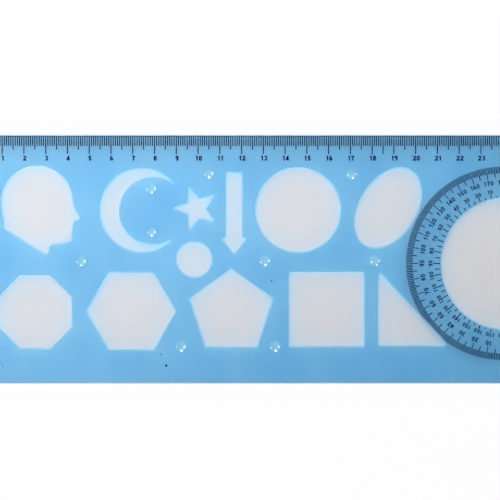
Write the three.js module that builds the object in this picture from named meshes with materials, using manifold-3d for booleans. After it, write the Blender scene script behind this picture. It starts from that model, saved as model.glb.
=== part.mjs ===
// A drawing template: one clear blue moulded plate with a 30 cm scale along its upper edge,
// twelve shapes to draw round, and the round opening of its protractor.
// Millimetres, +Z up. The plate lies on z = 0, +X runs along the scale and +Y points to its edge.
// A place on the plate is given as a drawing gives it: the distance along the scale from its
// zero line, and the distance down from the scale edge.
import * as THREE from "three";
import { mergeVertices } from "three/addons/utils/BufferGeometryUtils.js";
import Module from "manifold-3d";

// The plate
const scaleLength = 300;
const endMargin = 5;
const plateWidth = 114;
const plateThickness = 2;
const plateCornerRadius = 3;
const upperEdgeBevel = 0.4;
const lowerEdgeBevel = 0.2;

// The walls of the shapes lean outwards to let the moulding go, and their upper rims are bevelled.
// Every shape's own size below is the one at the plate's underside.
const wallLean = 0.2;
const rimBevel = 0.4;

// The corners of the straight-sided shapes are rounded, which the finest tips show most.
const cornerRadius = 0.4;
const tipCornerRadius = 0.3;
const triangleCornerRadius = 0.8;

// The head's silhouette: a round skull, a plain face and a slanting neck
const skull = { along: 25.8, down: 30.4, radius: 16.3 };
const browAngle = 8;
const napeAngle = 190;
const napeHollow = { along: 11.1, down: 38.7 };
const neckBack = { along: 10.9, down: 42.8 };
const neckFront = { along: 29.6, down: 54.6 };
const throat = { along: 31.2, down: 51.6 };
const jawEnd = { along: 33.2, down: 50.0 };
const chinUnderside = { along: 38.2, down: 49.2 };
const chin = { along: 41.7, down: 46.8 };
const lips = { along: 42.1, down: 39.9 };
const noseBase = { along: 43.1, down: 38.9 };
const nostril = { along: 45.9, down: 38.9 };
const noseTip = { along: 45.1, down: 37.1 };
const noseBridge = { along: 42.1, down: 33.6 };

// The crescent is one circle less another
const crescentOuter = { along: 74.25, down: 34.55, radius: 19.1 };
const crescentInner = { along: 79.2, down: 34.8, radius: 15.7 };
const crescentTipWidth = 0.2;

// The other shapes of the upper row
const star = { along: 99.1, down: 33.7, tipReach: 10.5, notchReach: 4.2, tips: 5 };
const arrow = { along: 116.6, top: 17.3, tip: 54.3, shaftWidth: 7.0, headWidth: 10.8 };
const arrowShoulderDown = 46.7;
const arrowBarbDown = 47.9;
const largeCircle = { along: 146.1, down: 34.3, radius: 19.4 };
const ellipse = { along: 187.4, down: 33.4, halfLength: 20.0, halfWidth: 12.9, tilt: 58 };
const smallCircle = { along: 98.2, down: 57.1, radius: 8.1 };

// The lower row
const octagon = { along: 25.0, down: 81.3, acrossFlats: 33.6 };
const hexagon = { along: 69.3, down: 81.0, reach: 20.4 };
const pentagon = { along: 115.3, down: 81.3, reach: 19.9 };
const square = { along: 159.2, down: 80.1, side: 34.1 };
const triangle = { left: 183.2, bottom: 96.7, base: 31.6, height: 33.8 };

// The protractor's opening
const opening = { along: 242.3, down: 59.1, radius: 30.3 };

// Round blind recesses in the underside, where the mould's pins pushed the plate out
const recessRadius = 2.8;
const recessDepth = 0.9;
const recessWallLean = 0.15;
const recessFloorFillet = 0.25;
const cornerRecessFromEnd = 12.2;
const cornerRecessFromEdge = 7.6;
const innerRecesses = [
  { along: 104.9, down: 17.7 },
  { along: 170.4, down: 18.0 },
  { along: 78.7, down: 24.6 },
  { along: 78.7, down: 44.4 },
  { along: 46.5, down: 57.7 },
  { along: 130.6, down: 57.7 },
  { along: 181.1, down: 57.7 },
  { along: 92.2, down: 96.8 },
  { along: 135.2, down: 96.8 },
];

// The printed scale: a fine base line just inside the edge, with a line hanging from it every millimetre
const inkThickness = 0.05;
const baseLineInset = 0.05;
const baseLineWidth = 0.3;
const millimetreLine = { length: 4.9, width: 0.3 };
const halfCentimetreLine = { length: 6.6, width: 0.34 };
const centimetreLine = { length: 8.7, width: 0.34 };
const overlongHalfCentimetre = 185;

// The printed protractor: a line every ten degrees, each on its own. The angles run clockwise
// from the line that points away from the scale. The print sits a little beside the opening.
const degreeRing = { along: 240.0, down: 58.9, innerRadius: 38.7, outerRadius: 44.4 };
const degreeLineWidth = 0.36;
const degreeStep = 10;
const printMargin = 0.15;

// How finely curves are faceted, and how far a cutting body runs past the face it cuts
const facetLength = 1.9;
const fewestFacets = 24;
const cornerFacetAngle = 30;
const cutOverrun = 0.1;

const wasm = await Module();
wasm.setup();

function onPlate({ along, down }) {
  return new THREE.Vector2(along - scaleLength / 2, plateWidth / 2 - down);
}

function facetsOf(radius) {
  const round = Math.ceil((2 * Math.PI * radius) / facetLength / 4) * 4;
  return Math.max(fewestFacets, round);
}

function radians(degrees) {
  return THREE.MathUtils.degToRad(degrees);
}

// Points round an arc, from one angle to another, both ends included.
function arcPoints(centre, radius, fromDegrees, toDegrees) {
  const turn = Math.abs(toDegrees - fromDegrees) / 360;
  const steps = Math.max(2, Math.round(facetsOf(radius) * turn));
  const clockwise = toDegrees < fromDegrees;
  const arc = new THREE.EllipseCurve(
    centre.x, centre.y, radius, radius, radians(fromDegrees), radians(toDegrees), clockwise);
  return arc.getPoints(steps);
}

function circleOutline(circle) {
  return arcPoints(onPlate(circle), circle.radius, 0, 360).slice(0, -1);
}

function ellipseOutline({ along, down, halfLength, halfWidth, tilt }) {
  const centre = onPlate({ along, down });
  const curve = new THREE.EllipseCurve(
    centre.x, centre.y, halfLength, halfWidth, 0, 2 * Math.PI, false, radians(tilt));
  return curve.getPoints(facetsOf(halfLength)).slice(0, -1);
}

// The corners of a regular polygon, all as far from its middle, the first at the given angle.
function polygonOutline(place, reach, sides, firstAngle) {
  const centre = onPlate(place);
  return Array.from({ length: sides }, (_, i) => {
    const angle = radians(firstAngle + (360 * i) / sides);
    return new THREE.Vector2(Math.cos(angle), Math.sin(angle)).multiplyScalar(reach).add(centre);
  });
}

// Rounds each corner that points outwards with an arc that runs into both of its sides.
function roundCorners(points, radius) {
  return points.flatMap((corner, i) => {
    const towardsLast = points.at(i - 1).clone().sub(corner).normalize();
    const towardsNext = points[(i + 1) % points.length].clone().sub(corner).normalize();
    if (towardsNext.cross(towardsLast) <= 0) return [corner];
    const turn = Math.PI - towardsLast.angleTo(towardsNext);
    const inwards = towardsLast.clone().add(towardsNext).normalize();
    const centre = corner.clone().addScaledVector(inwards, radius / Math.cos(turn / 2));
    const from = Math.atan2(towardsLast.x, -towardsLast.y);
    const arc = new THREE.EllipseCurve(centre.x, centre.y, radius, radius, from, from + turn);
    return arc.getPoints(Math.ceil(turn / radians(cornerFacetAngle)));
  });
}

// A star with one tip to the left: tips and notches take turns.
function starOutline() {
  const tips = polygonOutline(star, star.tipReach, star.tips, 180);
  const notches = polygonOutline(star, star.notchReach, star.tips, 180 + 180 / star.tips);
  return tips.flatMap((tip, i) => [tip, notches[i]]);
}

// An arrow pointing down, from its tip round the right barb and shoulder to the left ones.
function arrowOutline() {
  const rightHalf = [
    [0, arrow.tip],
    [arrow.headWidth / 2, arrowBarbDown],
    [arrow.shaftWidth / 2, arrowShoulderDown],
    [arrow.shaftWidth / 2, arrow.top],
  ];
  const leftHalf = rightHalf.slice(1).reverse().map(([side, down]) => [-side, down]);
  return [...rightHalf, ...leftHalf].map(([side, down]) => onPlate({ along: arrow.along + side, down }));
}

// The outer arc runs round the back of the crescent and the inner one returns. The angle at which
// each ends is where the gap between the circles has shrunk to the tip's width.
function crescentOutline() {
  const outer = onPlate(crescentOuter);
  const inner = onPlate(crescentInner);
  const between = inner.clone().sub(outer);
  const towardsInner = THREE.MathUtils.radToDeg(between.angle());
  const tipDistance = crescentInner.radius + crescentTipWidth;
  const cosine =
    (crescentOuter.radius ** 2 + between.lengthSq() - tipDistance ** 2) /
    (2 * crescentOuter.radius * between.length());
  const half = THREE.MathUtils.radToDeg(Math.acos(cosine));
  const back = arcPoints(
    outer, crescentOuter.radius, towardsInner + half, towardsInner + 360 - half);
  const tipAngle = THREE.MathUtils.radToDeg(back[0].clone().sub(inner).angle());
  const halfInner = tipAngle > 180 ? tipAngle - 360 - towardsInner : tipAngle - towardsInner;
  const front = arcPoints(
    inner, crescentInner.radius, towardsInner + 360 - halfInner, towardsInner + halfInner);
  return [...back, ...front];
}

// The skull is an arc from the brow over the top to the nape. The neck, jaw and face follow as a
// few soft curves, each drawn towards the place named between its two ends.
function headOutline() {
  const at = (place) => onPlate(place).toArray();
  const skullArc = arcPoints(onPlate(skull), skull.radius, browAngle, napeAngle);
  const outline = new THREE.Path();
  outline.setFromPoints(skullArc);
  outline.quadraticCurveTo(...at(napeHollow), ...at(neckBack));
  outline.lineTo(...at(neckFront));
  outline.quadraticCurveTo(...at({ along: throat.along, down: neckFront.down }), ...at(throat));
  outline.quadraticCurveTo(...at({ along: throat.along, down: jawEnd.down }), ...at(jawEnd));
  outline.bezierCurveTo(
    ...at(chinUnderside), ...at({ along: chin.along, down: chinUnderside.down }), ...at(chin));
  outline.quadraticCurveTo(...at(lips), ...at(noseBase));
  outline.quadraticCurveTo(...at(nostril), ...at(noseTip));
  outline.quadraticCurveTo(...at(noseBridge), ...skullArc[0].toArray());
  return outline.getPoints(5).slice(0, -1);
}

function triangleOutline() {
  const { left, bottom, base, height } = triangle;
  return [
    onPlate({ along: left, down: bottom }),
    onPlate({ along: left + base, down: bottom }),
    onPlate({ along: left, down: bottom - height }),
  ];
}

// The plate starts a margin before the scale's zero and ends a margin past the scale or the
// printed protractor, whichever reaches further.
const plateStart = -endMargin;
const plateEnd = Math.max(scaleLength, degreeRing.along + degreeRing.outerRadius) + endMargin;

function plateOutline() {
  const r = plateCornerRadius;
  const corners = [
    { along: plateEnd - r, down: r },
    { along: plateStart + r, down: r },
    { along: plateStart + r, down: plateWidth - r },
    { along: plateEnd - r, down: plateWidth - r },
  ];
  return corners.flatMap((corner, i) => arcPoints(onPlate(corner), r, 90 * i, 90 * (i + 1)));
}

// Moves every corner of an outline outwards, so that each side lies that much further out.
function growOutline(points, growth) {
  return points.map((point, i) => {
    const before = points.at(i - 1);
    const after = points[(i + 1) % points.length];
    const into = point.clone().sub(before).normalize();
    const outOf = after.clone().sub(point).normalize();
    const firstNormal = new THREE.Vector2(into.y, -into.x);
    const mitre = firstNormal.clone().add(new THREE.Vector2(outOf.y, -outOf.x)).normalize();
    return point.clone().addScaledVector(mitre, growth / mitre.dot(firstNormal));
  });
}

// A closed body through one outline grown by a different amount at each height.
function loft(outline, levels) {
  const rings = levels.map(({ growth }) => growOutline(outline, growth));
  const positions = rings.flatMap((ring, k) => ring.flatMap(({ x, y }) => [x, y, levels[k].z]));
  const count = outline.length;
  const last = (levels.length - 1) * count;
  const index = [];
  for (let k = 0; k < levels.length - 1; k++) {
    for (let i = 0; i < count; i++) {
      const a = k * count + i;
      const b = k * count + ((i + 1) % count);
      index.push(a, b, b + count, a, b + count, a + count);
    }
  }
  for (const [a, b, c] of THREE.ShapeUtils.triangulateShape(rings[0], [])) index.push(a, c, b);
  for (const [a, b, c] of THREE.ShapeUtils.triangulateShape(rings.at(-1), [])) {
    index.push(last + a, last + b, last + c);
  }
  const geometry = new THREE.BufferGeometry();
  geometry.setAttribute("position", new THREE.Float32BufferAttribute(positions, 3));
  geometry.setIndex(index);
  return geometry;
}

// The body that cuts one shape out of the plate.
function shapeCutter(outline) {
  const straightHeight = plateThickness - rimBevel;
  return loft(outline, [
    { z: -cutOverrun, growth: (-wallLean * cutOverrun) / straightHeight },
    { z: straightHeight, growth: wallLean },
    { z: plateThickness + cutOverrun, growth: wallLean + rimBevel + cutOverrun },
  ]);
}

// The body that cuts one recess into the underside: a shallow cup with a rounded floor edge.
function recessCutter(place) {
  const floorRadius = recessRadius - recessWallLean;
  const fillet = new THREE.EllipseCurve(
    floorRadius - recessFloorFillet, recessDepth - recessFloorFillet,
    recessFloorFillet, recessFloorFillet, 0, Math.PI / 2).getPoints(2);
  const profile = [
    new THREE.Vector2(0, -cutOverrun),
    new THREE.Vector2(recessRadius, -cutOverrun),
    ...fillet,
    new THREE.Vector2(0, recessDepth),
  ];
  const centre = onPlate(place);
  const cutter = new THREE.LatheGeometry(profile, fewestFacets);
  return cutter.rotateX(Math.PI / 2).translate(centre.x, centre.y, 0);
}

function toSolid(geometry) {
  const bare = geometry.clone();
  bare.deleteAttribute("normal");
  bare.deleteAttribute("uv");
  const merged = mergeVertices(bare, 1e-5);
  return new wasm.Manifold(new wasm.Mesh({
    numProp: 3,
    vertProperties: merged.attributes.position.array,
    triVerts: new Uint32Array(merged.index.array),
  }));
}

function toGeometry(solid) {
  const { vertProperties, triVerts } = solid.getMesh();
  const geometry = new THREE.BufferGeometry();
  geometry.setAttribute("position", new THREE.BufferAttribute(vertProperties, 3));
  geometry.setIndex(new THREE.BufferAttribute(triVerts, 1));
  geometry.computeVertexNormals();
  return geometry;
}

function recessPlaces() {
  const ends = [plateStart + cornerRecessFromEnd, plateEnd - cornerRecessFromEnd];
  const edges = [cornerRecessFromEdge, plateWidth - cornerRecessFromEdge];
  const corners = ends.flatMap((along) => edges.map((down) => ({ along, down })));
  return [...innerRecesses, ...corners];
}

function shapeOutlines() {
  const octagonReach = octagon.acrossFlats / 2 / Math.cos(Math.PI / 8);
  const squareReach = square.side / Math.SQRT2;
  return [
    headOutline(),
    crescentOutline(),
    roundCorners(starOutline(), tipCornerRadius),
    roundCorners(arrowOutline(), tipCornerRadius),
    circleOutline(largeCircle),
    ellipseOutline(ellipse),
    circleOutline(smallCircle),
    roundCorners(polygonOutline(octagon, octagonReach, 8, 22.5), cornerRadius),
    roundCorners(polygonOutline(hexagon, hexagon.reach, 6, 0), cornerRadius),
    roundCorners(polygonOutline(pentagon, pentagon.reach, 5, 90), cornerRadius),
    roundCorners(polygonOutline(square, squareReach, 4, 45), cornerRadius),
    roundCorners(triangleOutline(), triangleCornerRadius),
    circleOutline(opening),
  ];
}

function plateGeometry() {
  const blank = loft(plateOutline(), [
    { z: 0, growth: -lowerEdgeBevel },
    { z: lowerEdgeBevel, growth: 0 },
    { z: plateThickness - upperEdgeBevel, growth: 0 },
    { z: plateThickness, growth: -upperEdgeBevel },
  ]);
  const cutters = [...shapeOutlines().map(shapeCutter), ...recessPlaces().map(recessCutter)];
  const plate = cutters.reduce((solid, cutter) => solid.subtract(toSolid(cutter)), toSolid(blank));
  return toGeometry(plate);
}

// The line that stands at a whole number of millimetres.
function lineAt(millimetre) {
  if (millimetre % 10 === 0) return centimetreLine;
  if (millimetre === overlongHalfCentimetre) return { ...halfCentimetreLine, length: centimetreLine.length };
  return millimetre % 5 === 0 ? halfCentimetreLine : millimetreLine;
}

// One comb: the base line runs the whole scale, and every graduation hangs from it.
function scaleGeometry() {
  const start = upperEdgeBevel + baseLineInset;
  const comb = new THREE.Shape();
  const corner = (along, down) => {
    const point = onPlate({ along, down });
    return [point.x, point.y];
  };
  comb.moveTo(...corner(scaleLength + centimetreLine.width / 2, start));
  comb.lineTo(...corner(-centimetreLine.width / 2, start));
  for (let millimetre = 0; millimetre <= scaleLength; millimetre++) {
    const { length, width } = lineAt(millimetre);
    const left = millimetre - width / 2;
    const right = millimetre + width / 2;
    if (millimetre > 0) comb.lineTo(...corner(left, start + baseLineWidth));
    comb.lineTo(...corner(left, length));
    comb.lineTo(...corner(right, length));
    if (millimetre < scaleLength) comb.lineTo(...corner(right, start + baseLineWidth));
  }
  comb.closePath();
  return new THREE.ExtrudeGeometry(comb, { depth: inkThickness, bevelEnabled: false });
}

// A degree line, which stops short of any shape whose rim it would run over.
function degreeLineGeometry(degrees) {
  const { innerRadius, outerRadius } = degreeRing;
  const length = outerRadius - innerRadius;
  const centre = onPlate(degreeRing);
  const line = new THREE.BoxGeometry(degreeLineWidth, length, inkThickness)
    .translate(0, -(innerRadius + length / 2), 0)
    .rotateZ(-radians(degrees))
    .translate(centre.x, centre.y, plateThickness + inkThickness / 2);
  const keptClear = shapeOutlines()
    .map((outline) => toSolid(shapeCutter(growOutline(outline, printMargin))));
  return toGeometry(keptClear.reduce((solid, shape) => solid.subtract(shape), toSolid(line)));
}

const blueStyrene = new THREE.MeshStandardMaterial({
  color: 0x6fbdf0,
  roughness: 0.08,
  metalness: 0,
  transparent: true,
  opacity: 0.6,
});
const navyInk = new THREE.MeshStandardMaterial({ color: 0x12304f, roughness: 0.5, metalness: 0 });

const template = new THREE.Group();

const plate = new THREE.Mesh(plateGeometry(), blueStyrene);
plate.name = "template_plate";
template.add(plate);

const scale = new THREE.Mesh(scaleGeometry(), navyInk);
scale.name = "scale_print";
scale.position.z = plateThickness;
template.add(scale);

const protractor = new THREE.Group();
protractor.name = "protractor_print";
for (let degrees = 0; degrees < 360; degrees += degreeStep) {
  const line = new THREE.Mesh(degreeLineGeometry(degrees), navyInk);
  line.name = `degree_line_${String(degrees).padStart(3, "0")}`;
  protractor.add(line);
}
template.add(protractor);

export default template;
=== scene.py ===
import math
import random

import bmesh
import bpy
from bpy.props import FloatProperty, FloatVectorProperty, PointerProperty
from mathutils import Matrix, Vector
from mathutils.geometry import delaunay_2d_cdt


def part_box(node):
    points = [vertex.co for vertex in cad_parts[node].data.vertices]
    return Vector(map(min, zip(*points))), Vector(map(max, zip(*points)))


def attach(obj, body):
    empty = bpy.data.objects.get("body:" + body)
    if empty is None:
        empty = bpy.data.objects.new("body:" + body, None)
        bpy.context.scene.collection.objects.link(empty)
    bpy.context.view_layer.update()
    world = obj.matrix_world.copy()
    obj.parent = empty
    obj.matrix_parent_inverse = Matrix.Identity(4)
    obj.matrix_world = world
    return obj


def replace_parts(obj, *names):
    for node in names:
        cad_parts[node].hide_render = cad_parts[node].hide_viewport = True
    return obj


bl_info = {
    "name": "Geometric Shape Template",
    "version": (1, 0, 0),
    "blender": (4, 5, 0),
    "location": "3D View > Sidebar > Template",
    "description": "Finishes a clear blue drawing template and prints its scale and protractor",
    "category": "Object",
}

MM = 0.001
WHITE = (1.0, 1.0, 1.0, 1.0)
INK = "navy_ink"

# The printed scale, in millimetres. One half-centimetre line is as long as a centimetre line.
SCALE_LENGTH = 300
CENTIMETRE = 10
HALF_CENTIMETRE = 5
LONG_HALF = 185

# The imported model, and the places in it that the print and the stage are set out from
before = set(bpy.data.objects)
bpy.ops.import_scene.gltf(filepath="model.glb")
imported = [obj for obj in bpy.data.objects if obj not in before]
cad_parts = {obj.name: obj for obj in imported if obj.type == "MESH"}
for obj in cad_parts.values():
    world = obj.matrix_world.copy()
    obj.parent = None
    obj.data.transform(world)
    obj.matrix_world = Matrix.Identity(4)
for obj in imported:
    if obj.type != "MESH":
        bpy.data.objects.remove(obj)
PLATE_LOW, PLATE_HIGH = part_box("template_plate")
SCALE_LOW, SCALE_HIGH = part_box("scale_print")
TOP = PLATE_HIGH.z
INK_TOP = SCALE_HIGH.z
SCALE_ZERO = (SCALE_LOW.x + SCALE_HIGH.x) / 2 - SCALE_LENGTH * MM / 2
DEGREE_NODES = sorted(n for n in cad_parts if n.startswith("degree_line_"))
PROTRACTOR = Vector((
    (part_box("degree_line_090")[0].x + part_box("degree_line_270")[1].x) / 2,
    (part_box("degree_line_000")[0].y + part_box("degree_line_180")[1].y) / 2))


def on_plate(along, down):
    """A place on the plate, from millimetres along the scale and down from its edge."""
    return Vector((SCALE_ZERO + along * MM, PLATE_HIGH.y - down * MM))


# Where the plate is open, as far as print could run over it, how much wider that is at the top face, and
# how far past the ends of the triangle's long side it counts
RIM_GROWTH = 0.6 * MM
OPENING = (on_plate(242.3, 59.1), 30.3 * MM)
ELLIPSE = (on_plate(187.4, 33.4), 20.0 * MM, 12.9 * MM, math.radians(58))
HYPOTENUSE = (on_plate(183.2, 62.9), on_plate(214.8, 96.7))
HYPOTENUSE_END = 2 * MM

# How clear of an opening lines and figures are printed, how finely a line's clear stretch is searched for,
# and how many steps of that search the shortest line has
LINE_CLEARANCE = 0.05 * MM
FIGURE_CLEARANCE = 0.1 * MM
SEARCH_STEP = 0.03 * MM
FEWEST_STEPS = 6

# The round marks in the underside, along and down in millimetres
RECESSES = [
    (104.9, 17.7), (170.4, 18.0), (78.7, 24.6), (78.7, 44.4), (46.5, 57.7), (130.6, 57.7), (181.1, 57.7),
    (92.2, 96.8), (135.2, 96.8), (7.2, 7.6), (7.2, 106.4), (292.8, 7.6), (292.8, 106.4)]

# Three specks of stray ink: along, down and how wide, in millimetres. Each has corners that reach out to
# somewhere between the least share of half its width and all of it.
SPECKS = [(85.4, 105.9, 1.3), (83.0, 100.7, 0.7), (133.8, 66.9, 0.8)]
SPECK_SIDES = 16
SPECK_SEED = 7
LEAST_SPECK_REACH = 0.78

# Where the plastic's shading turns from one part of the plate to the next: outwards past the rim of a round
# mark, upwards to a mark's floor, past it and to the top face, and inwards from the plate's edge
MARK_RIM = (2.6 * MM, 2.75 * MM)
TO_MARK_FLOOR = (0.6 * MM, 0.8 * MM)
PAST_MARK_FLOOR = (1.0 * MM, 1.1 * MM)
TO_TOP_FACE = (1.9 * MM, 1.95 * MM)
SCUFFED_EDGE = (0.3 * MM, 1.6 * MM)

# How far a normal points up or down as a wall turns into one of the plate's faces
WALL_TO_FACE = (0.80, 0.95)

# Levels of noise over which clouds, scratches, scuffs and thin ink come in
CLOUDS = (0.36, 0.62)
SCRATCHES_ALONG = (0.70, 0.80)
SCRATCHES_ACROSS = (0.71, 0.81)
SCRATCHED_PATCHES = (0.42, 0.62)
SCUFFS = (0.56, 0.66)
THIN_INK = (0.35, 0.7)

# The stage, in metres: how far the floor reaches, how soon it is seen as white beyond the plate, and where
# each softbox hangs, how wide it is and which setting holds its power
FLOOR_REACH = 3
TO_WHITE = (0.0, 0.6 * MM)
SOFTBOXES = {
    "softbox_left": ((-0.42, 0.03, 0.35), 0.17, "left_lamp"),
    "softbox_top": ((-0.12, 0.46, 0.40), 0.22, "top_lamp"),
    "softbox_right": ((0.75, 0.27, 0.78), 0.26, "right_lamp"),
}

# Where the camera hangs over the plate, in metres, and how wide its sensor is, in millimetres
VIEW_MIDDLE = (-0.02612, 0.00425)
SENSOR_WIDTH = 36.0

# The ceiling that the plastic mirrors: how high up it comes in, and how its dark side slants and comes in
CEILING = (0.80, 0.92)
DARK_SLANT = 0.6
DARK_SIDE = (-0.15, 0.20)


# Properties


def size(name, millimetres, description):
    """A property that holds a length. The scene is in metres."""
    return FloatProperty(name=name, description=description, default=millimetres * MM, min=0.0,
                         precision=5, subtype="DISTANCE", unit="LENGTH")


def amount(name, value, description, high=1.0):
    """A property that holds a plain number."""
    return FloatProperty(name=name, description=description, default=value, min=0.0, max=high, precision=3)


def colour(name, value, description):
    """A property that holds a colour."""
    return FloatVectorProperty(name=name, description=description, default=value, size=3,
                               subtype="COLOR", min=0.0, max=1.0)


class PlasticSettings(bpy.types.PropertyGroup):
    """The clear blue plastic of the plate"""
    tint: colour("Tint", (0.0, 0.670, 0.890), "What the clear blue plastic lets through")
    tint_depth: amount("Tint depth", 470.0, "How fast the tint deepens, per metre of plastic", 2000.0)
    index: amount("Refractive index", 1.59, "How strongly the plastic bends light", 3.0)
    gloss: amount("Roughness", 0.03, "Roughness of the moulded faces")
    frost: amount("Mark roughness", 0.05, "Roughness of the floor of the round marks")
    wall_frost: amount("Wall roughness", 0.85, "Roughness of the walls of the cut-outs")
    clearness: amount("Clearness", 0.93, "Share of the light that passes, where the rest is handling haze")
    dish: size("Dish depth", 1.0, "How deep the top face's shading hollows out over each round mark")
    dish_radius: size("Dish radius", 2.9, "Radius of that hollow")
    streaks: amount("Streaks", 0.3, "Share of the clouding that runs in streaks across the plate")
    deep: colour("Deeper clouds", (0.86, 0.945, 0.985), "The plastic's own colour where it clouds over")
    pale: colour("Mark colour", (1.0, 0.96, 0.90), "The plastic's own colour in the floors of the marks")
    shade: colour("Shade", (0.81, 0.81, 0.81), "What each face lets straight through, beside what it bends")
    grain_roughness: amount("Grain roughness", 0.025, "Roughness that the fine grain adds")
    scratch_roughness: amount("Scratch roughness", 0.10, "Roughness that the hairline scratches add")
    scuff_roughness: amount("Scuff roughness", 0.22, "Roughness that the scuffs along the edge add")
    ripple: size("Ripple height", 0.0096, "Height of the slow waves in the moulded faces")
    scratch_height: size("Scratch height", 0.00024, "Height of the hairline scratches")
    scuff_height: size("Scuff height", 0.0006, "Height of the scuffs along the edge")
    grain_height: size("Grain height", 0.00048, "Height of the fine grain in the floor of the round marks")


class InkSettings(bpy.types.PropertyGroup):
    """The navy ink, and the scale that is printed with it"""
    dense: colour("Dense ink", (0.002, 0.004, 0.055), "Navy ink where it lies thick")
    thin: colour("Thin ink", (0.005, 0.014, 0.100), "Navy ink where it lies thin")
    roughness: amount("Roughness", 0.6, "Roughness of dry ink")
    shine: amount("Shine", 0.06, "How strongly the ink mirrors, where 0.5 is plain plastic")
    index: amount("Refractive index", 1.48, "How strongly the ink bends light", 3.0)
    pinholes: amount("Pinhole roughness", 0.18, "Roughness that the pinholes add")
    relief: size("Relief", 0.002, "Height of the pinholes and of the thick ink")
    base_line: size("Base line", 0.3, "Width of the line along the scale edge")
    millimetre_line: size("Millimetre lines", 0.475, "Width of the millimetre lines")
    centimetre_line: size("Centimetre lines", 0.48, "Width of the centimetre and half-centimetre lines")
    millimetre_reach: size("Millimetre reach", 4.9, "From the scale edge to the end of the millimetre lines")
    half_reach: size("Half reach", 6.6, "From the scale edge to the end of the half-centimetre lines")
    centimetre_reach: size("Centimetre reach", 8.7, "From the scale edge to the end of the centimetre lines")
    figure_height: size("Scale figures", 2.3, "Height of the centimetre figures")
    figure_top: size("Figures from edge", 9.4, "From the scale edge to the top of the figures")
    figure_shift: size("Figure shift", 0.3, "How far the figures are printed to the right of their lines")
    figure_weight: amount("Figure weight", 0.24, "Stroke of the scale figures, as a share of their height")


class ProtractorSettings(bpy.types.PropertyGroup):
    """The fine print of the protractor"""
    rim: size("Rim of the ring", 44.4, "Radius at which all degree lines start")
    one_degree: size("One degree", 41.4, "Radius at which the one-degree lines end")
    five_degrees: size("Five degrees", 39.5, "Radius at which the five-degree lines end")
    line: size("Line width", 0.42, "Width of the fine degree lines")
    outer_figures: size("Outer figures", 37.15, "Radius of the middle of the outer figures")
    outer_height: size("Outer figure height", 2.1, "Height of the outer figures")
    inner_figures: size("Inner figures", 33.15, "Radius of the middle of the inner figures")
    inner_height: size("Inner figure height", 1.9, "Height of the inner figures")
    inner_start: size("Inner lines", 32.0, "Radius at which the inner ten-degree lines start")
    inner_five: size("Inner five degrees", 31.1, "Radius at which the inner five-degree lines start")
    inner_end: size("Inner end", 28.0, "Radius at which the inner lines end")
    figure_weight: amount("Figure weight", 0.213, "Stroke of the degree figures, as a share of their height")


class StageSettings(bpy.types.PropertyGroup):
    """The board, the light and the view"""
    board: colour("Board", (0.905, 0.890, 0.930), "The pale board that the template lies on")
    gap: size("Air gap", 0.05, "How far the board lies below the plate's underside")
    margin: size("Block margin", 8.0, "How far the block that light spreads in reaches past the plate")
    thickness: size("Block thickness", 60.0, "Thickness of the block that light spreads in")
    spread: size("Spread", 23.0, "How far light spreads in the block")
    whiteness: amount("White surround", 0.97, "How far the board round the template is washed out to white")
    dark: colour("Dark side", (0.05, 0.05, 0.05), "The dark side of the ceiling that the plastic mirrors")
    ambient: amount("Ambient", 0.11, "Light from all round")
    left_lamp: amount("Left lamp", 0.84, "Power of the softbox at the left, in watts", 1000.0)
    top_lamp: amount("Top lamp", 2.30, "Power of the softbox beyond the scale edge, in watts", 1000.0)
    right_lamp: amount("Right lamp", 2.60, "Power of the softbox at the right, in watts", 1000.0)
    lens: amount("Lens", 85.0, "Focal length in millimetres", 300.0)
    view_width: size("View width", 229.75, "How much of the plate the picture spans")


# Shader nodes


class Wire:
    """A node's output that takes part in sums, each of which adds a Math node."""

    def __init__(self, shader, socket):
        self.shader = shader
        self.socket = socket

    def sum(self, operation, *terms):
        """A Math node with these terms."""
        return self.shader.node("ShaderNodeMath", {"operation": operation}, dict(enumerate(terms)))

    def __add__(self, other):
        return self.sum("ADD", self, other)

    def __sub__(self, other):
        return self.sum("SUBTRACT", self, other)

    def __rsub__(self, other):
        return self.sum("SUBTRACT", other, self)

    def __mul__(self, other):
        return self.sum("MULTIPLY", self, other)

    __radd__ = __add__
    __rmul__ = __mul__

    def __abs__(self):
        return self.sum("ABSOLUTE", self)

    def lower(self, other):
        """The lower of the two."""
        return self.sum("MINIMUM", self, other)

    def higher(self, other):
        """The higher of the two."""
        return self.sum("MAXIMUM", self, other)

    def ease(self, start, end):
        """0 before start, 1 past end, and smooth between them."""
        return self.shader.node(
            "ShaderNodeMapRange", {"interpolation_type": "SMOOTHSTEP"},
            {"Value": self, "From Min": start, "From Max": end})

    def ramp(self, start, end):
        """0 before start, 1 past end, and even between them."""
        return self.shader.node(
            "ShaderNodeMapRange", None, {"Value": self, "From Min": start, "From Max": end})


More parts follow.
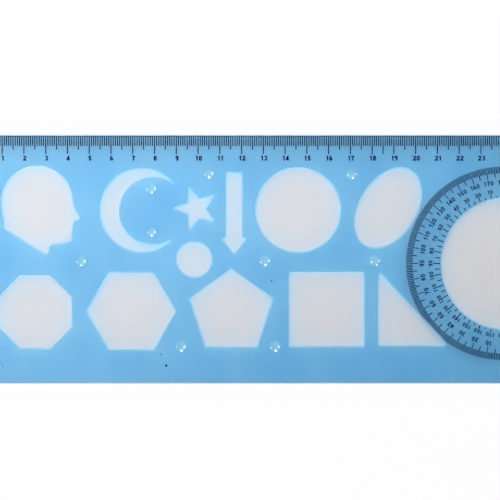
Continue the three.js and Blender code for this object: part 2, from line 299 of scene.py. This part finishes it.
class Shader:
    """The nodes of one material or world."""

    def __init__(self, owner):
        owner.use_nodes = True
        self.tree = owner.node_tree
        self.tree.nodes.clear()

    def node(self, kind, settings=None, inputs=None, output=0):
        """Adds a node, sets it, then fills its sockets with values or links."""
        node = self.tree.nodes.new(kind)
        for key, value in (settings or {}).items():
            setattr(node, key, value)
        for key, value in (inputs or {}).items():
            if isinstance(value, Wire):
                self.tree.links.new(value.socket, node.inputs[key])
            else:
                node.inputs[key].default_value = value
        return None if output is None else Wire(self, node.outputs[output])

    def place(self):
        """Where a point lies, in metres, in the frame that its object rides in."""
        return self.node("ShaderNodeTexCoord", output="Object")

    def place_in_sky(self):
        """The direction that a ray of the world looks in."""
        return self.node("ShaderNodeTexCoord", output="Generated")

    def seen(self):
        """1 for what the camera sees straight, or by gloss and clear plastic alone, and 0 for light."""
        rays = self.node("ShaderNodeLightPath").socket.node.outputs
        names = ("Is Camera Ray", "Is Glossy Ray", "Is Transmission Ray")
        kinds = [Wire(self, rays[name]) for name in names]
        return sum(kinds).lower(1.0) * (1 - Wire(self, rays["Diffuse Depth"]).lower(1.0))

    def axes(self, vector):
        """A vector's x, y and z."""
        x = self.node("ShaderNodeSeparateXYZ", None, {0: vector})
        return [Wire(self, socket) for socket in x.socket.node.outputs]

    def noise(self, vector, grain, detail=2.0, stretch=(1.0, 1.0, 1.0)):
        """Noise about `grain` metres across, longer where stretch is over 1."""
        scaled = self.node("ShaderNodeVectorMath", {"operation": "MULTIPLY"}, {
            0: vector, 1: [1.0 / (grain * s) for s in stretch]})
        return self.node("ShaderNodeTexNoise", None, {"Vector": scaled, "Scale": 1.0, "Detail": detail})

    def mix(self, share, first, second):
        """One colour turning into another."""
        first, second = (c if isinstance(c, Wire) else (*c[:3], 1.0) for c in (first, second))
        return self.node("ShaderNodeMix", {"data_type": "RGBA"}, {0: share, 6: first, 7: second}, 2)

    def bump(self, height):
        """The normal of a face whose height varies, in metres."""
        return self.node("ShaderNodeBump", None, {"Height": height, "Distance": 1.0}, "Normal")

    def finish(self, surface, volume=None):
        """Ends the nodes in the output that the owner has."""
        inputs = {"Surface": surface}
        if volume:
            inputs["Volume"] = volume
        kind = "World" if isinstance(self.tree.id_data, bpy.types.World) else "Material"
        self.node("ShaderNodeOutput" + kind, None, inputs, None)


def named_material(name):
    """The material of that name, made on first use."""
    return bpy.data.materials.get(name) or bpy.data.materials.new(name)


def mark_distance(shader, x, y):
    """How far a point lies, sideways, from the middle of the nearest round mark."""
    flat = shader.node("ShaderNodeCombineXYZ", None, {0: x, 1: y})
    nearest = None
    for along, down in RECESSES:
        middle = on_plate(along, down)
        distance = shader.node("ShaderNodeVectorMath", {"operation": "DISTANCE"}, {
            0: flat, 1: (middle.x, middle.y, 0.0)}, "Value")
        nearest = nearest.lower(distance) if nearest else distance
    return nearest


def clear_plastic(settings):
    """Clear blue polystyrene: glossy and a little cloudy, rippled and scratched, with hollow round marks."""
    material = named_material("clear_blue_plastic")
    shader = Shader(material)
    place = shader.place()
    x, y, z = shader.axes(place)

    # The floors of the round marks, and the hollows that the top face seems to have over them
    aside = mark_distance(shader, x, y)
    in_mark = (1 - aside.ease(*MARK_RIM)) * (1 - z.ease(*PAST_MARK_FLOOR)) * z.ease(*TO_MARK_FLOOR)
    dish = (1 - aside * aside * settings.dish_radius ** -2).higher(0.0) * z.ease(*TO_TOP_FACE)

    # Hairline scratches both ways in some patches, and scuffs along the plate's edge
    lengthwise = shader.noise(place, grain=0.16 * MM, detail=0.0, stretch=(70.0, 1.0, 1.0))
    crosswise = shader.noise(place, grain=0.18 * MM, detail=0.0, stretch=(1.0, 90.0, 1.0))
    patches = shader.noise(place, grain=22 * MM, detail=1.0).ease(*SCRATCHED_PATCHES)
    scratches = lengthwise.ease(*SCRATCHES_ALONG).higher(crosswise.ease(*SCRATCHES_ACROSS)) * patches
    edge = (PLATE_HIGH.x - x).lower(x - PLATE_LOW.x).lower((PLATE_HIGH.y - y).lower(y - PLATE_LOW.y))
    scuffs = (1 - edge.ease(*SCUFFED_EDGE)) * shader.noise(place, grain=1.3 * MM, detail=3.0).ease(*SCUFFS)

    # The colour: clouds, partly drawn out into streaks
    cloud = shader.noise(place, grain=26 * MM, detail=3.0)
    streak = shader.noise(place, grain=7 * MM, stretch=(1.0, 4.0, 1.0))
    tone = ((1 - settings.streaks) * cloud + settings.streaks * streak).ease(*CLOUDS)
    body = shader.mix(in_mark, shader.mix(tone, settings.deep, WHITE), settings.pale)

    # The surface: frosted walls, and faces with slow waves and a fine grain
    _, _, up = shader.axes(shader.node("ShaderNodeNewGeometry", output="True Normal"))
    wall = 1 - abs(up).ease(*WALL_TO_FACE)
    ripple = shader.noise(place, grain=9 * MM, detail=1.0, stretch=(1.6, 1.0, 4.0))
    grain = shader.noise(place, grain=0.5 * MM)
    roughness = (
        settings.gloss + settings.grain_roughness * grain + settings.scratch_roughness * scratches
        + settings.scuff_roughness * scuffs + settings.frost * in_mark + settings.wall_frost * wall)
    height = (
        settings.ripple * ripple + settings.scratch_height * scratches + settings.scuff_height * scuffs
        + settings.grain_height * grain * in_mark - settings.dish * dish)
    plastic = shader.node("ShaderNodeBsdfPrincipled", None, {
        "Base Color": body, "Roughness": roughness, "IOR": settings.index,
        "Transmission Weight": settings.clearness, "Normal": shader.bump(height)})

    # Lamps also shine straight through, beside the light that the plastic bends
    let_through = shader.node("ShaderNodeBsdfTransparent", None, {"Color": (*settings.shade, 1.0)})
    shadow = shader.node("ShaderNodeLightPath", output="Is Shadow Ray")
    surface = shader.node("ShaderNodeMixShader", None, {0: shadow, 1: plastic, 2: let_through})
    tint = shader.node("ShaderNodeVolumeAbsorption", None, {
        "Color": (*settings.tint, 1.0), "Density": settings.tint_depth})
    shader.finish(surface, tint)
    return material


def printed_ink(settings):
    """Navy screen ink: slightly uneven in density, satin, with pinholes."""
    material = named_material(INK)
    shader = Shader(material)
    place = shader.place()
    density = shader.noise(place, grain=1.1 * MM, detail=3.0)
    pinholes = shader.noise(place, grain=0.09 * MM, detail=1.0)
    shader.finish(shader.node("ShaderNodeBsdfPrincipled", None, {
        "Base Color": shader.mix(density.ease(*THIN_INK), settings.dense, settings.thin),
        "Roughness": settings.roughness + settings.pinholes * pinholes,
        "IOR": settings.index, "Specular IOR Level": settings.shine,
        "Normal": shader.bump(settings.relief * (pinholes + density))}))
    return material


def dress(name, material):
    """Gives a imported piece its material."""
    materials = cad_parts[name].data.materials
    materials.clear()
    materials.append(material)


# Print

# Figures are drawn 1 high. A figure's width and the gap to the next are shares of that height, and the
# width of the 1 is a share of the others' width.
FIGURE_WIDTH = 0.64
FIGURE_GAP = 0.13
NARROW_ONE = 0.80

# The degrees that one step of an arc turns through, and the power that makes arcs a little squarer
ARC_STEP = 16
SQUARER = 0.88

# The least cosine that the corner of a bent stroke is drawn out by, and how near points count as one
MITRE_LIMIT = 0.6
SAME_PLACE = 1e-6
JOIN_WITHIN = 1e-5


class Print:
    """Flat ink gathered into one mesh, each patch a closed body as thick as the printed lines."""

    def __init__(self):
        self.mesh = bmesh.new()

    def patch(self, points, faces):
        """Lays down faces that wind anticlockwise over points of the plate's top."""
        low = [self.mesh.verts.new((x, y, TOP)) for x, y in points]
        high = [self.mesh.verts.new((x, y, INK_TOP)) for x, y in points]
        sides = set()
        for face in faces:
            self.mesh.faces.new([high[i] for i in face])
            self.mesh.faces.new([low[i] for i in reversed(face)])
            sides.update(zip(face, [*face[1:], face[0]]))
        for a, b in sorted(sides):
            if (b, a) not in sides:
                self.mesh.faces.new((low[a], low[b], high[b], high[a]))

    def piece(self, name):
        """Ends the print as a piece of ink that rides with the plate."""
        loose = [v for v in self.mesh.verts if not v.link_faces]
        bmesh.ops.delete(self.mesh, geom=loose, context="VERTS")
        data = bpy.data.meshes.new(name)
        self.mesh.to_mesh(data)
        self.mesh.free()
        data.materials.append(named_material(INK))
        piece = bpy.data.objects.new(name, data)
        bpy.context.scene.collection.objects.link(piece)
        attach(piece, "root")
        return piece


def arc(middle_x, middle_y, radius_x, radius_y, start, end):
    """Points round an ellipse from one angle to another, a little squared as printed figures are."""
    steps = max(4, round(abs(end - start) / ARC_STEP))
    points = []
    for i in range(steps + 1):
        turn = math.radians(start + (end - start) * i / steps)
        reach = [math.copysign(abs(part) ** SQUARER, part) for part in (math.cos(turn), math.sin(turn))]
        points.append((middle_x + radius_x * reach[0], middle_y + radius_y * reach[1]))
    return points


def figure_strokes(figure, width, weight):
    """The strokes of one figure that is 1 high, each as the points that its middle runs through."""
    left, right, low, high = weight / 2, width - weight / 2, weight / 2, 1 - weight / 2
    middle, reach, waist = width / 2, (width - weight) / 2, 0.53
    if figure == "0":
        return [arc(middle, 0.5, reach, 0.5 - low, 0, 360)]
    if figure == "1":
        stem = width * 0.60
        return [[(stem, 0), (stem, 1)], [(width * 0.16, 0.745), (width * 0.42, 0.79), (stem, 0.96)]]
    if figure == "2":
        bow = arc(middle, high - 0.24, reach, 0.24, 168, -28)
        return [bow + [(middle * 0.78, 0.30), (left + weight * 0.15, low)], [(0, low), (width, low)]]
    if figure == "3":
        top, bottom = (high + waist) / 2, (low + waist) / 2
        return [arc(middle, top, reach * 0.92, high - top, 158, -90),
                arc(middle, bottom, reach, bottom - low, 90, -160)]
    if figure == "4":
        stem = width * 0.70
        return [[(stem, 0), (stem, 1)], [(0, 0.27), (width, 0.27)],
                [(weight * 0.36, 0.27), (stem - weight * 0.12, 1 - weight * 0.45)]]
    if figure == "5":
        bowl = arc(middle, 0.325, reach, 0.325 - low, 148, -160)
        return [[(left + 0.05, high), (width - 0.03, high)],
                [(left + 0.09, high), (left + 0.025, 0.44)], bowl]
    if figure == "6":
        side = arc(middle + 0.01, 0.5, reach, 0.5 - low, 52, 180)
        return [side + [(left, 0.30)], arc(middle, 0.30, reach, 0.30 - low, 0, 360)]
    if figure == "7":
        return [[(0.01, high), (width - 0.01, high)],
                [(right, high), (middle * 1.32, 0.62), (middle, 0.30), (middle * 0.88, 0)]]
    if figure == "8":
        top, bottom = (high + waist) / 2, (low + waist) / 2
        return [arc(middle, top, reach * 0.88, high - top, 0, 360),
                arc(middle, bottom, reach, bottom - low, 0, 360)]
    return [[(width - x, 1 - y) for x, y in stroke] for stroke in figure_strokes("6", width, weight)]


def ribbon(points, width):
    """The quads of a stroke of even width. A stroke that ends where it starts is closed."""
    closed = math.dist(points[0], points[-1]) < SAME_PLACE
    middles = [Vector(p) for p in (points[:-1] if closed else points)]
    count = len(middles)
    sides = []
    for i, point in enumerate(middles):
        before = middles[i - 1] if closed or i else point
        after = middles[(i + 1) % count] if closed or i < count - 1 else point
        into = (point - before).normalized() if point != before else (after - point).normalized()
        out = (after - point).normalized() if after != point else into
        across = Vector((into.y + out.y, -into.x - out.x)).normalized()
        mitre = width / 2 / max(MITRE_LIMIT, across.dot(Vector((out.y, -out.x))))
        sides.append((point - across * mitre, point + across * mitre))
    last = count if closed else count - 1
    return [(*sides[i], *reversed(sides[(i + 1) % count])) for i in range(last)]


def anticlockwise(corners):
    """The same corners, turned round if they wind clockwise."""
    area = sum(a.x * b.y - b.x * a.y for a, b in zip(corners, [*corners[1:], corners[0]]))
    return corners if area > 0 else corners[::-1]


def joined(quads):
    """The points and triangles of overlapping quads, joined into one flat shape."""
    corners = [corner for quad in quads for corner in anticlockwise(quad)]
    faces = [list(range(i, i + 4)) for i in range(0, len(corners), 4)]
    points, _, triangles, _, _, sources = delaunay_2d_cdt(corners, [], faces, 0, JOIN_WITHIN)
    return points, [list(t) for t, source in zip(triangles, sources) if source]


class Figures:
    """Figures of one height and weight, each drawn once and then placed as often as needed."""

    def __init__(self, height, weight):
        self.height, self.weight = height, weight
        self.drawn = {}

    def span(self, figure):
        """How wide a figure is, as a share of the height."""
        return FIGURE_WIDTH * (NARROW_ONE if figure == "1" else 1.0)

    def drawing(self, figure):
        """The points and triangles of a figure 1 high."""
        if figure not in self.drawn:
            strokes = figure_strokes(figure, self.span(figure), self.weight)
            self.drawn[figure] = joined([q for s in strokes for q in ribbon(s, self.weight)])
        return self.drawn[figure]

    def length(self, text):
        """How long a text is, in metres."""
        return (sum(self.span(c) for c in text) + FIGURE_GAP * (len(text) - 1)) * self.height

    def corners(self, text, middle, up):
        """The corners of the box that the text fills."""
        along = Vector((up.y, -up.x)) * self.length(text) / 2
        rise = up * self.height / 2
        return [middle + a + b for a in (along, -along) for b in (rise, -rise)]

    def lay(self, sheet, text, middle, up):
        """Prints text round its middle, with the tops of its figures towards up."""
        along = Vector((up.y, -up.x))
        start = middle - along * self.length(text) / 2 - up * self.height / 2
        for character in text:
            points, faces = self.drawing(character)
            sheet.patch([start + (along * p.x + up * p.y) * self.height for p in points], faces)
            start = start + along * (self.span(character) + FIGURE_GAP) * self.height


def on_plastic(point, margin):
    """Whether print at a point lies on the plate, clear of the shapes by a margin."""
    growth = RIM_GROWTH + margin
    middle, radius = OPENING
    if (point - middle).length < radius + growth:
        return False
    low, high = HYPOTENUSE
    run = (high - low).normalized()
    beside = (point - low).dot(Vector((-run.y, run.x)))
    past = (point - low).dot(run)
    if beside < growth and -HYPOTENUSE_END < past < (high - low).length + HYPOTENUSE_END:
        return False
    middle, half_length, half_width, tilt = ELLIPSE
    offset = point - middle
    lengthwise = offset.x * math.cos(tilt) + offset.y * math.sin(tilt)
    crosswise = -offset.x * math.sin(tilt) + offset.y * math.cos(tilt)
    return math.hypot(lengthwise / (half_length + growth), crosswise / (half_width + growth)) > 1


def ring_direction(degrees):
    """Away from the middle of the protractor: 0 points away from the scale, 90 to the left."""
    turn = math.radians(degrees)
    return Vector((-math.sin(turn), -math.cos(turn)))


def clear_stretch(out, aside, start, end):
    """The radii between which a line runs clear for longest, going in, or None if that is too short."""
    longest, run = [], []
    for i in range(int((start - end) / SEARCH_STEP) + 1):
        radius = start - i * SEARCH_STEP
        if on_plastic(PROTRACTOR + out * radius + aside, LINE_CLEARANCE):
            run.append(radius)
        else:
            longest, run = max(longest, run, key=len), []
    longest = max(longest, run, key=len)
    return None if len(longest) < FEWEST_STEPS else (longest[0], longest[-1])


def ring_line(sheet, degrees, start, end, width):
    """A line of the ring, from one radius in to another, cut short where the plate is open."""
    out = ring_direction(degrees)
    across = Vector((-out.y, out.x)) * width / 2
    one_side = clear_stretch(out, -across, start, end)
    other_side = clear_stretch(out, across, start, end)
    if one_side and other_side:
        sheet.patch(anticlockwise([
            PROTRACTOR + out * one_side[1] - across, PROTRACTOR + out * other_side[1] + across,
            PROTRACTOR + out * other_side[0] + across, PROTRACTOR + out * one_side[0] - across,
        ]), [[0, 1, 2, 3]])


# Operators: the plate, the print and the stage


class TEMPLATE_OT_plate(bpy.types.Operator):
    """Give the moulded plate its clear blue plastic"""
    bl_idname = "template.plate"
    bl_label = "Plate"

    def execute(self, context):
        dress("template_plate", clear_plastic(context.scene.template_plastic))
        return {"FINISHED"}


class TEMPLATE_OT_lines(bpy.types.Operator):
    """Ink the ten-degree lines, and print the centimetre scale with the spread of real ink"""
    bl_idname = "template.lines"
    bl_label = "Scale and ten-degree lines"

    def execute(self, context):
        settings = context.scene.template_ink
        ink = printed_ink(settings)
        for name in DEGREE_NODES:
            dress(name, ink)

        # One comb, whose lines hang from the base line between pairs of its corners
        low, high = SCALE_LOW, SCALE_HIGH
        sheet = Print()
        points, faces = [], []
        foot = high.y - settings.base_line
        for millimetre in range(SCALE_LENGTH + 1):
            width, reach = settings.centimetre_line, settings.centimetre_reach
            if millimetre % HALF_CENTIMETRE:
                width, reach = settings.millimetre_line, settings.millimetre_reach
            elif millimetre % CENTIMETRE and millimetre != LONG_HALF:
                reach = settings.half_reach
            for side in (-0.5, 0.5):
                x = min(max(SCALE_ZERO + millimetre * MM + side * width, low.x), high.x)
                points += [(x, high.y), (x, foot), (x, PLATE_HIGH.y - reach)]
            left = len(points) - 6
            right = left + 3
            faces += [[left + 1, right + 1, right, left], [left + 2, right + 2, right + 1, left + 1]]
            if millimetre:
                faces.append([left - 2, left + 1, left, left - 3])
        sheet.patch(points, faces)
        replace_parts(sheet.piece("scale_lines"), "scale_print")
        return {"FINISHED"}


class TEMPLATE_OT_scale_figures(bpy.types.Operator):
    """Print the figures of the centimetre scale"""
    bl_idname = "template.scale_figures"
    bl_label = "Scale figures"

    def execute(self, context):
        ink = context.scene.template_ink
        figures = Figures(ink.figure_height, ink.figure_weight)
        sheet = Print()
        offset = Vector((ink.figure_shift, -ink.figure_top - ink.figure_height / 2))
        for centimetre in range(SCALE_LENGTH // CENTIMETRE + 1):
            middle = on_plate(centimetre * CENTIMETRE, 0) + offset
            figures.lay(sheet, str(centimetre), middle, Vector((0, 1)))
        sheet.piece("scale_figures")
        return {"FINISHED"}


class TEMPLATE_OT_degree_lines(bpy.types.Operator):
    """Print the one-degree and five-degree lines and the lines inside the ring of figures"""
    bl_idname = "template.degree_lines"
    bl_label = "Fine degree lines"

    def execute(self, context):
        ring = context.scene.template_protractor
        outer, inner = Print(), Print()
        for degrees in range(360):
            if degrees % 10:
                end = ring.one_degree if degrees % 5 else ring.five_degrees
                ring_line(outer, degrees, ring.rim, end, ring.line)
            if degrees % 5 == 0:
                start = ring.inner_five if degrees % 10 else ring.inner_start
                ring_line(inner, degrees, start, ring.inner_end, ring.line)
        outer.piece("degree_lines_fine")
        inner.piece("degree_lines_inner")
        return {"FINISHED"}


class TEMPLATE_OT_degree_figures(bpy.types.Operator):
    """Print both rings of degree figures"""
    bl_idname = "template.degree_figures"
    bl_label = "Degree figures"

    def execute(self, context):
        ring = context.scene.template_protractor
        outer = Figures(ring.outer_height, ring.figure_weight)
        inner = Figures(ring.inner_height, ring.figure_weight)
        outer_sheet, inner_sheet = Print(), Print()
        for degrees in range(0, 360, 10):
            up = ring_direction(degrees)
            outer.lay(outer_sheet, str(degrees), PROTRACTOR + up * ring.outer_figures, up)
            text, middle = str((180 - degrees) % 360), PROTRACTOR + up * ring.inner_figures
            if all(on_plastic(corner, FIGURE_CLEARANCE) for corner in inner.corners(text, middle, up)):
                inner.lay(inner_sheet, text, middle, up)
        outer_sheet.piece("degree_figures_outer")
        inner_sheet.piece("degree_figures_inner")
        return {"FINISHED"}


class TEMPLATE_OT_specks(bpy.types.Operator):
    """Leave the specks of stray ink that the printing made"""
    bl_idname = "template.specks"
    bl_label = "Ink specks"

    def execute(self, context):
        sheet = Print()
        chance = random.Random(SPECK_SEED)
        for along, down, width in SPECKS:
            middle = on_plate(along, down)
            points, faces = [middle], []
            for i in range(SPECK_SIDES):
                turn = 2 * math.pi * i / SPECK_SIDES
                reach = width * MM / 2 * chance.uniform(LEAST_SPECK_REACH, 1.0)
                points.append(middle + Vector((math.cos(turn), math.sin(turn))) * reach)
                faces.append([0, i + 1, (i + 1) % SPECK_SIDES + 1])
            sheet.patch(points, faces)
        sheet.piece("ink_specks")
        return {"FINISHED"}


def white_board(name, stage, kind, inputs):
    """A pale surface, seen as white beyond the plate's edge but for a faint shadow there."""
    material = named_material(name)
    shader = Shader(material)
    x, y, _ = shader.axes(shader.place())
    middle = (PLATE_LOW + PLATE_HIGH) / 2
    half = (PLATE_HIGH - PLATE_LOW) / 2
    past = (abs(x - middle.x) - half.x).higher(abs(y - middle.y) - half.y)
    outside = past.ease(*TO_WHITE)
    pale = shader.node(kind, None, {"Color": (*stage.board, 1.0), **inputs})
    white = shader.node("ShaderNodeEmission", None, {"Color": WHITE, "Strength": 1.0})
    shader.finish(shader.node("ShaderNodeMixShader", None, {
        0: shader.seen() * outside * stage.whiteness, 1: pale, 2: white}))
    return material


def stage_piece(name, points, faces, material):
    """A piece of the stage, which is no part of the template."""
    data = bpy.data.meshes.new(name)
    data.from_pydata(points, [], faces)
    data.materials.append(material)
    piece = bpy.data.objects.new(name, data)
    bpy.context.scene.collection.objects.link(piece)


def lay_board(stage):
    """A white floor with a thick block in it, under the plate, in which light spreads sideways."""
    margin = Vector((stage.margin, stage.margin, 0))
    low, high = PLATE_LOW - margin, PLATE_HIGH + margin
    top, bottom = -stage.gap, -stage.gap - stage.thickness
    corners = [(low.x, low.y), (high.x, low.y), (high.x, high.y), (low.x, high.y)]
    block = [(x, y, z) for z in (top, bottom) for x, y in corners]
    walls = [(i, i + 4, (i + 1) % 4 + 4, (i + 1) % 4) for i in range(4)]
    far = [(FLOOR_REACH * x, FLOOR_REACH * y, top) for x, y in ((-1, -1), (1, -1), (1, 1), (-1, 1))]
    ring = [(4 + i, 4 + (i + 1) % 4, (i + 1) % 4, i) for i in range(4)]
    stage_piece("floor", block[:4] + far, ring, white_board(
        "white_paper", stage, "ShaderNodeBsdfDiffuse", {}))
    stage_piece("board", block, [(0, 1, 2, 3), (7, 6, 5, 4), *walls], white_board(
        "frosted_board", stage, "ShaderNodeSubsurfaceScattering", {
            "Scale": stage.spread, "Radius": (1.0, 1.0, 1.0)}))


def light_room(stage):
    """A dim room that is seen as white. The plastic mirrors its ceiling, which has a dark side."""
    world = bpy.data.worlds.new("studio")
    bpy.context.scene.world = world
    shader = Shader(world)
    room = shader.node("ShaderNodeBackground", None, {"Strength": stage.ambient})
    white = shader.node("ShaderNodeBackground", None, {"Color": WHITE, "Strength": 1.0})
    dark = shader.node("ShaderNodeBackground", None, {"Color": (*stage.dark, 1.0), "Strength": 1.0})
    across, along, height = shader.axes(shader.place_in_sky())
    glossy = shader.node("ShaderNodeLightPath", output="Is Glossy Ray")
    dark_side = height.ease(*CEILING) * (across - DARK_SLANT * along).ramp(*DARK_SIDE) * glossy
    background = shader.node("ShaderNodeMixShader", None, {0: dark_side, 1: white, 2: dark})
    shader.finish(shader.node("ShaderNodeMixShader", None, {0: shader.seen(), 1: room, 2: background}))


def hang_softbox(name, place, width, power):
    """A square lamp that faces the middle of the plate and isn't seen itself."""
    data = bpy.data.lights.new(name, "AREA")
    data.shape = "SQUARE"
    data.size = width
    data.energy = power
    lamp = bpy.data.objects.new(name, data)
    bpy.context.scene.collection.objects.link(lamp)
    lamp.location = place
    lamp.rotation_euler = (-Vector(place)).to_track_quat("-Z", "Y").to_euler()
    lamp.visible_camera = False


def hang_camera(stage):
    """A camera that looks straight down on the plate."""
    camera = bpy.data.objects.new("camera", bpy.data.cameras.new("camera"))
    bpy.context.scene.collection.objects.link(camera)
    camera.data.lens = stage.lens
    camera.data.sensor_width = SENSOR_WIDTH
    camera.data.clip_start = 0.01
    camera.location = (*VIEW_MIDDLE, TOP + stage.view_width * stage.lens / SENSOR_WIDTH)
    bpy.context.scene.camera = camera


class TEMPLATE_OT_stage(bpy.types.Operator):
    """Lay the board, hang the lamps and set the camera straight above"""
    bl_idname = "template.stage"
    bl_label = "Stage"

    def execute(self, context):
        stage = context.scene.template_stage
        lay_board(stage)
        light_room(stage)
        for name, (place, width, power) in SOFTBOXES.items():
            hang_softbox(name, place, width, getattr(stage, power))
        hang_camera(stage)
        context.scene.view_settings.view_transform = "Standard"
        return {"FINISHED"}


class TEMPLATE_PT_panel(bpy.types.Panel):
    """Lists the template's settings and steps"""
    bl_label = "Template"
    bl_idname = "TEMPLATE_PT_panel"
    bl_space_type = "VIEW_3D"
    bl_region_type = "UI"
    bl_category = "Template"

    def draw(self, context):
        for attribute, group in GROUPS.items():
            box = self.layout.box()
            settings = getattr(context.scene, attribute)
            for key in group.__annotations__:
                box.prop(settings, key)
        for operator in OPERATORS:
            self.layout.operator(operator.bl_idname)


GROUPS = {
    "template_plastic": PlasticSettings,
    "template_ink": InkSettings,
    "template_protractor": ProtractorSettings,
    "template_stage": StageSettings,
}
OPERATORS = [
    TEMPLATE_OT_plate, TEMPLATE_OT_lines, TEMPLATE_OT_scale_figures, TEMPLATE_OT_degree_lines,
    TEMPLATE_OT_degree_figures, TEMPLATE_OT_specks, TEMPLATE_OT_stage]


def register():
    for kind in [*GROUPS.values(), *OPERATORS, TEMPLATE_PT_panel]:
        bpy.utils.register_class(kind)
    for attribute, group in GROUPS.items():
        setattr(bpy.types.Scene, attribute, PointerProperty(type=group))


def unregister():
    for attribute in GROUPS:
        delattr(bpy.types.Scene, attribute)
    for kind in reversed([*GROUPS.values(), *OPERATORS, TEMPLATE_PT_panel]):
        bpy.utils.unregister_class(kind)


def main():
    """Builds the dressed template."""
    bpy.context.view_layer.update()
    register()
    bpy.ops.template.plate()
    bpy.ops.template.lines()
    bpy.ops.template.scale_figures()
    bpy.ops.template.degree_lines()
    bpy.ops.template.degree_figures()
    bpy.ops.template.specks()
    bpy.ops.template.stage()


if __name__ == "__main__":
    main()
